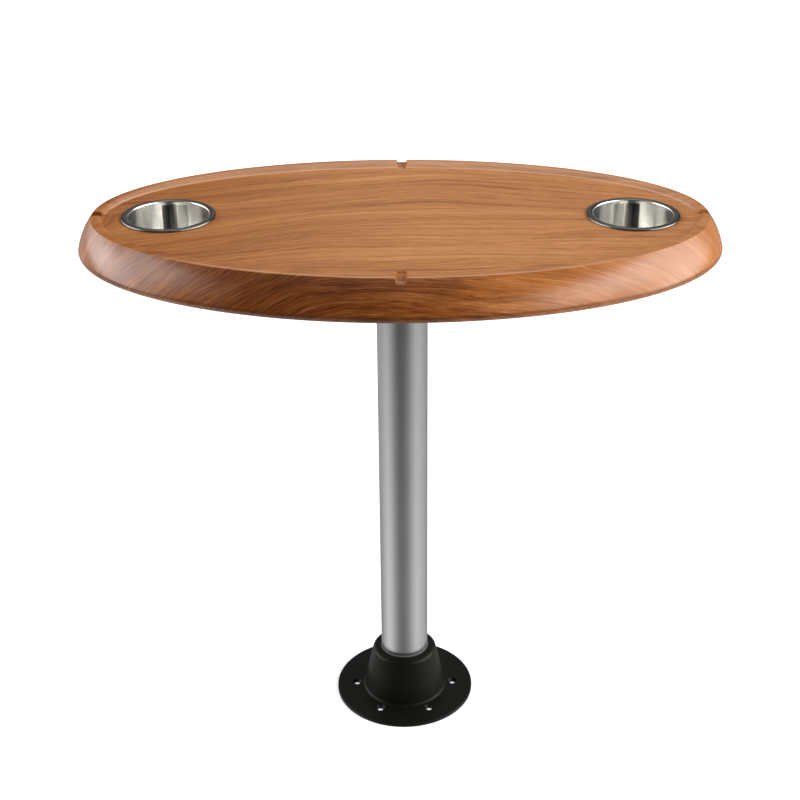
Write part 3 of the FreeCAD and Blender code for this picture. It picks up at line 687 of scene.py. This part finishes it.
def anodised():
    g = Graph("satin_aluminium")
    P = g.vec("SCALE", g.obj, scale=1000.0)
    x, y, z = g.split(P)
    ang = g.math("ARCTAN2", y, x)
    # fine lines drawn along the tube
    lines = g.noise(g.join(g.math("MULTIPLY", ang, 26.0), g.math("MULTIPLY", z, 0.006), 0.0), 1.0, 3.0, 0.7)
    haze = g.noise(P, 0.012, 3.0, 0.5)
    pit = g.noise(P, 1.6, 2.0, 0.6)
    k = g.math("ADD", g.math("MULTIPLY", lines, 0.6), g.math("MULTIPLY", haze, 0.4))
    col = g.ramp(k, [(0.3, (0.465, 0.475, 0.465)), (0.7, (0.535, 0.545, 0.535))])
    rough = g.math("ADD", g.remap(k, 0.3, 0.7, 0.30, 0.38, smooth=False), g.math("MULTIPLY", g.math("SUBTRACT", pit, 0.5), 0.05))
    g.set(Base_Color=col, Metallic=1.0, Roughness=rough)
    g.feed(g.bsdf.inputs["Normal"], g.bump(g.math("ADD", lines, g.math("MULTIPLY", pit, 0.3)), 0.05, 0.00005))
    return g.mat


def moulded(name, dark, light, rough, grain_mm, strength, spec=0.5):
    """Moulded plastic with a fine spark-eroded texture and slow changes of gloss."""
    g = Graph(name)
    P = g.vec("SCALE", g.obj, scale=1000.0)
    cells = g.voronoi(P, 1.0 / grain_mm)
    fine = g.noise(P, 2.2 / grain_mm, 3.0, 0.6)
    slow = g.noise(P, 0.02, 3.0, 0.55)
    h = g.math("ADD", g.math("MULTIPLY", cells, 0.7), g.math("MULTIPLY", fine, 0.5))
    col = g.mix(g.remap(g.math("ADD", g.math("MULTIPLY", slow, 0.6), g.math("MULTIPLY", fine, 0.4)), 0.3, 0.7), dark, light)
    r = g.math("ADD", g.remap(slow, 0.3, 0.7, rough - 0.04, rough + 0.05, smooth=False),
               g.math("MULTIPLY", g.math("SUBTRACT", fine, 0.5), 0.08))
    g.set(Base_Color=col, Roughness=r, Specular_IOR_Level=spec)
    g.feed(g.bsdf.inputs["Normal"], g.bump(h, strength, 0.0001 * grain_mm))
    return g.mat


def plywood():
    g = Graph("plywood")
    P = g.vec("SCALE", g.obj, scale=1000.0)
    x, y, z = g.split(P)
    ply = g.math("FRACT", g.math("MULTIPLY", g.math("SUBTRACT", z, 655.8), 1 / 3.0))
    grain = g.noise(g.join(g.math("MULTIPLY", x, 0.02), g.math("MULTIPLY", y, 0.5), g.math("MULTIPLY", z, 0.5)), 1.0, 4.0, 0.6)
    fleck = g.noise(g.join(g.math("MULTIPLY", x, 0.3), g.math("MULTIPLY", y, 2.5), g.math("MULTIPLY", z, 2.5)), 1.0, 2.0, 0.6)
    face = g.ramp(grain, [(0.3, (0.56, 0.40, 0.24)), (0.7, (0.74, 0.58, 0.38))])
    col = g.mix(g.math("MULTIPLY", g.remap(ply, 0.42, 0.5), g.remap(ply, 0.92, 1.0, 1.0, 0.0)), face, (0.47, 0.30, 0.16))
    col = g.mix(g.math("MULTIPLY", g.remap(fleck, 0.58, 0.72), 0.35), col, (0.36, 0.22, 0.11))
    g.set(Base_Color=col, Roughness=g.remap(grain, 0.3, 0.7, 0.6, 0.75, smooth=False))
    g.feed(g.bsdf.inputs["Normal"], g.bump(fleck, 0.3, 0.0002))
    return g.mat


def zinc():
    g = Graph("zinc_screws")
    P = g.vec("SCALE", g.obj, scale=1000.0)
    n = g.noise(P, 0.9, 3.0, 0.6)
    col = g.ramp(n, [(0.3, (0.52, 0.52, 0.50)), (0.7, (0.70, 0.69, 0.65))])
    g.set(Base_Color=col, Metallic=1.0, Roughness=g.remap(n, 0.3, 0.7, 0.25, 0.4, smooth=False))
    g.feed(g.bsdf.inputs["Normal"], g.bump(n, 0.1, 0.00005))
    return g.mat


def foam():
    g = Graph("foam_rubber")
    P = g.vec("SCALE", g.obj, scale=1000.0)
    n = g.noise(P, 3.0, 3.0, 0.7)
    col = g.ramp(n, [(0.3, (0.012, 0.012, 0.012)), (0.7, (0.035, 0.034, 0.033))])
    g.set(Base_Color=col, Roughness=g.remap(n, 0.3, 0.7, 0.8, 0.95, smooth=False), Specular_IOR_Level=0.3)
    g.feed(g.bsdf.inputs["Normal"], g.bump(n, 0.4, 0.0003))
    return g.mat


def paint(ob, mat):
    ob.data.materials.clear()
    ob.data.materials.append(mat)
    for p in ob.data.polygons:
        p.material_index = 0


# ------------------------------------------------------------------ build
M_TEAK = teak("teak_film", 0.55, 0.0)
M_TEAK_FLAT = teak("teak_film_worn_sheen", 0.05, 0.18)
M_STEEL = brushed_steel("brushed_cup_steel")
M_TUBE = anodised()
M_SOCKET = moulded("black_moulding", (0.0060, 0.0055, 0.0040), (0.0092, 0.0085, 0.0064), 0.38, 0.9, 0.12, 0.13)
M_PANEL = moulded("underside_sheet", (0.030, 0.028, 0.026), (0.048, 0.046, 0.043), 0.55, 1.6, 0.35)
M_NYLON = moulded("grey_nylon", (0.11, 0.115, 0.115), (0.15, 0.155, 0.155), 0.5, 0.8, 0.08)
M_PLY, M_ZINC, M_FOAM = plywood(), zinc(), foam()

skin = tabletop()
weighted(skin)
paint(skin, M_TEAK)
# the table surface and the lip's upper faces are worn duller than the side, and their film carries a painted sheen
skin.data.materials.append(M_TEAK_FLAT)
for p in skin.data.polygons:
    if p.normal.z > 0.80 and p.center.z * 1000.0 > Z_NOTCH - 0.5:
        p.material_index = 1
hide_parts("tabletop_shell")
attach(skin, "top")

for side, s in (("left", -1), ("right", 1)):
    c = cup(side + "_cup_steel", s)
    paint(c, M_STEEL)
    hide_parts(side + "_cup")
    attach(c, "cup_" + side)

tube = lathe("tube_satin", tube_profile(), 160)
sharpen(tube, 35)
weighted(tube)
paint(tube, M_TUBE)
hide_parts("pedestal_tube")
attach(tube, "pedestal")

for name, mat in (("tabletop_core", M_PLY), ("edge_batten", M_PLY), ("centre_pad", M_PLY), ("underside_panel", M_PANEL),
                  ("panel_screws", M_ZINC), ("table_socket_screws", M_ZINC), ("left_cup_gasket", M_FOAM),
                  ("right_cup_gasket", M_FOAM), ("table_socket", M_SOCKET), ("floor_base", M_SOCKET),
                  ("table_socket_bush", M_NYLON), ("floor_base_bush", M_NYLON)):
    paint(nodes[name], mat)

# ------------------------------------------------------------------ stage, light, camera
def stage_floor():
    me = bpy.data.meshes.new("floor")
    s = 14.0
    me.from_pydata([(-s, -s, 0), (s, -s, 0), (s, s, 0), (-s, s, 0)], [], [(0, 1, 2, 3)])
    ob = bpy.data.objects.new("studio_floor", me)
    scene.collection.objects.link(ob)
    ob.location.z = -0.0003
    mat = bpy.data.materials.new("studio_floor")
    mat.use_nodes = True
    nt = mat.node_tree
    b = nt.nodes["Principled BSDF"]
    b.inputs["Base Color"].default_value = (0.82, 0.82, 0.82, 1)
    b.inputs["Roughness"].default_value = 0.9
    b.inputs["Specular IOR Level"].default_value = 0.0
    b.inputs["Emission Color"].default_value = (1, 1, 1, 1)
    b.inputs["Emission Strength"].default_value = 0.53
    me.materials.append(mat)
    ob.visible_glossy = False
    return ob


floor = stage_floor()

# the studio: soft boxes and soft lamps far off, angles in degrees, direction 0 is +X and 90 is +Y
# the boxes are rows of panels, 15 degrees wide and 22 high: height of the row's middle, then (direction, radiance)
ROWS = [
    (11, [(-45, 0.40), (-30, 1.60), (-15, 4.60), (0, 6.00), (15, 4.20), (30, 0.90),
          (135, 1.33), (150, 3.30), (165, 6.20), (180, 5.20), (195, 2.60)]),
    (33, [(-60, 0.60), (-45, 4.40), (-30, 5.60), (-15, 5.90), (0, 5.20), (15, 4.18), (30, 2.80),
          (135, 0.50), (150, 1.05), (165, 1.60), (180, 4.20), (195, 4.00), (210, 0.80)]),
]
# a lamp is (direction, height above the horizon, tightness, radiance); the low ones are the floor's own sheen
LAMPS = [
    (90, 76, 6, 0.60), (90, 62, 10, 0.26), (0, 55, 10, 0.17), (90, 20, 14, 0.22),
    (0, -15, 14, 0.46), (45, -15, 14, 0.39), (135, -15, 14, 0.66),
    (30, -38, 14, 0.27), (330, -38, 14, 0.79), (300, -38, 14, 0.16), (210, -38, 14, 0.63), (180, -38, 14, 0.75),
    (0, -62, 8, 0.86), (180, -62, 8, 0.61), (270, -62, 8, 0.44),
]


def studio_world():
    world = bpy.data.worlds.new("studio")
    scene.world = world
    world.use_nodes = True
    nt = world.node_tree
    nt.nodes.clear()
    out = nt.nodes.new("ShaderNodeOutputWorld")
    bg = nt.nodes.new("ShaderNodeBackground")
    ray = nt.nodes.new("ShaderNodeTexCoord").outputs["Generated"]

    def maths(op, a, b=None, c=None):
        n = nt.nodes.new("ShaderNodeMath")
        n.operation = op
        for i, v in enumerate((a, b, c)):
            if isinstance(v, bpy.types.NodeSocket):
                nt.links.new(v, n.inputs[i])
            elif v is not None:
                n.inputs[i].default_value = v
        return n.outputs[0]

    def dot(d):
        n = nt.nodes.new("ShaderNodeVectorMath")
        n.operation = "DOT_PRODUCT"
        nt.links.new(ray, n.inputs[0])
        n.inputs[1].default_value = d
        return n.outputs["Value"]

    def window(v, half, soft):
        """1 inside the half width, 0 outside it, with a soft edge."""
        n = nt.nodes.new("ShaderNodeMapRange")
        n.interpolation_type = "SMOOTHSTEP"
        nt.links.new(maths("ABSOLUTE", v), n.inputs["Value"])
        n.inputs["From Min"].default_value = math.radians(half - soft)
        n.inputs["From Max"].default_value = math.radians(half + soft)
        n.inputs["To Min"].default_value = 1.0
        n.inputs["To Max"].default_value = 0.0
        return n.outputs["Result"]
    total = 0.0
    height = maths("ARCSINE", dot((0, 0, 1)))
    for el, panels in ROWS:
        row = 0.0
        for az, power in panels:
            a = math.radians(az)
            turn = maths("ARCTAN2", dot((-math.sin(a), math.cos(a), 0)), dot((math.cos(a), math.sin(a), 0)))
            row = maths("MULTIPLY_ADD", window(turn, 7.5, 4.0), power, row)
        total = maths("MULTIPLY_ADD", row, window(maths("SUBTRACT", height, math.radians(el)), 11.0, 4.0), total)
    for az, el, tight, power in LAMPS:
        a, e = math.radians(az), math.radians(el)
        lobe = maths("MULTIPLY_ADD", dot((math.cos(e) * math.cos(a), math.cos(e) * math.sin(a), math.sin(e))), tight, -tight)
        total = maths("MULTIPLY_ADD", maths("EXPONENT", lobe), power, total)
    # the backdrop itself is plain and pale
    path = nt.nodes.new("ShaderNodeLightPath")
    plain = nt.nodes.new("ShaderNodeMix")
    plain.data_type = "FLOAT"
    nt.links.new(path.outputs["Is Camera Ray"], plain.inputs[0])
    nt.links.new(total, plain.inputs[2])
    plain.inputs[3].default_value = 1.0
    bg.inputs["Color"].default_value = (1, 1, 1, 1)
    nt.links.new(plain.outputs[0], bg.inputs["Strength"])
    nt.links.new(bg.outputs[0], out.inputs["Surface"])


studio_world()

# camera: 800 x 800 frame, 66.3 mm lens on a 36 mm sensor, frame cut a little off the lens axis
yaw, pitch, roll, F = 0.0186, 0.4744, -0.0032, 1473.3
f = Vector((math.sin(yaw) * math.cos(pitch), math.cos(yaw) * math.cos(pitch), -math.sin(pitch)))
r = Vector((math.cos(yaw), -math.sin(yaw), 0.0))
d = f.cross(r)
r2 = math.cos(roll) * r + math.sin(roll) * d
d2 = -math.sin(roll) * r + math.cos(roll) * d
cam_data = bpy.data.cameras.new("camera")
cam_data.sensor_width = 36.0
cam_data.lens = 36.0 * F / 800.0
cam_data.shift_x = -33.0 / 800.0
cam_data.clip_end = 60.0
cam = bpy.data.objects.new("camera", cam_data)
scene.collection.objects.link(cam)
rot = Matrix((r2, -d2, -f)).transposed().to_4x4()
cam.matrix_world = Matrix.Translation(Vector((7.4, -1646.8, 1289.9)) * MM) @ rot
scene.camera = cam

scene.view_settings.view_transform = "Standard"
scene.view_settings.look = "None"
scene.view_settings.exposure = 0.0
scene.view_settings.gamma = 1.0
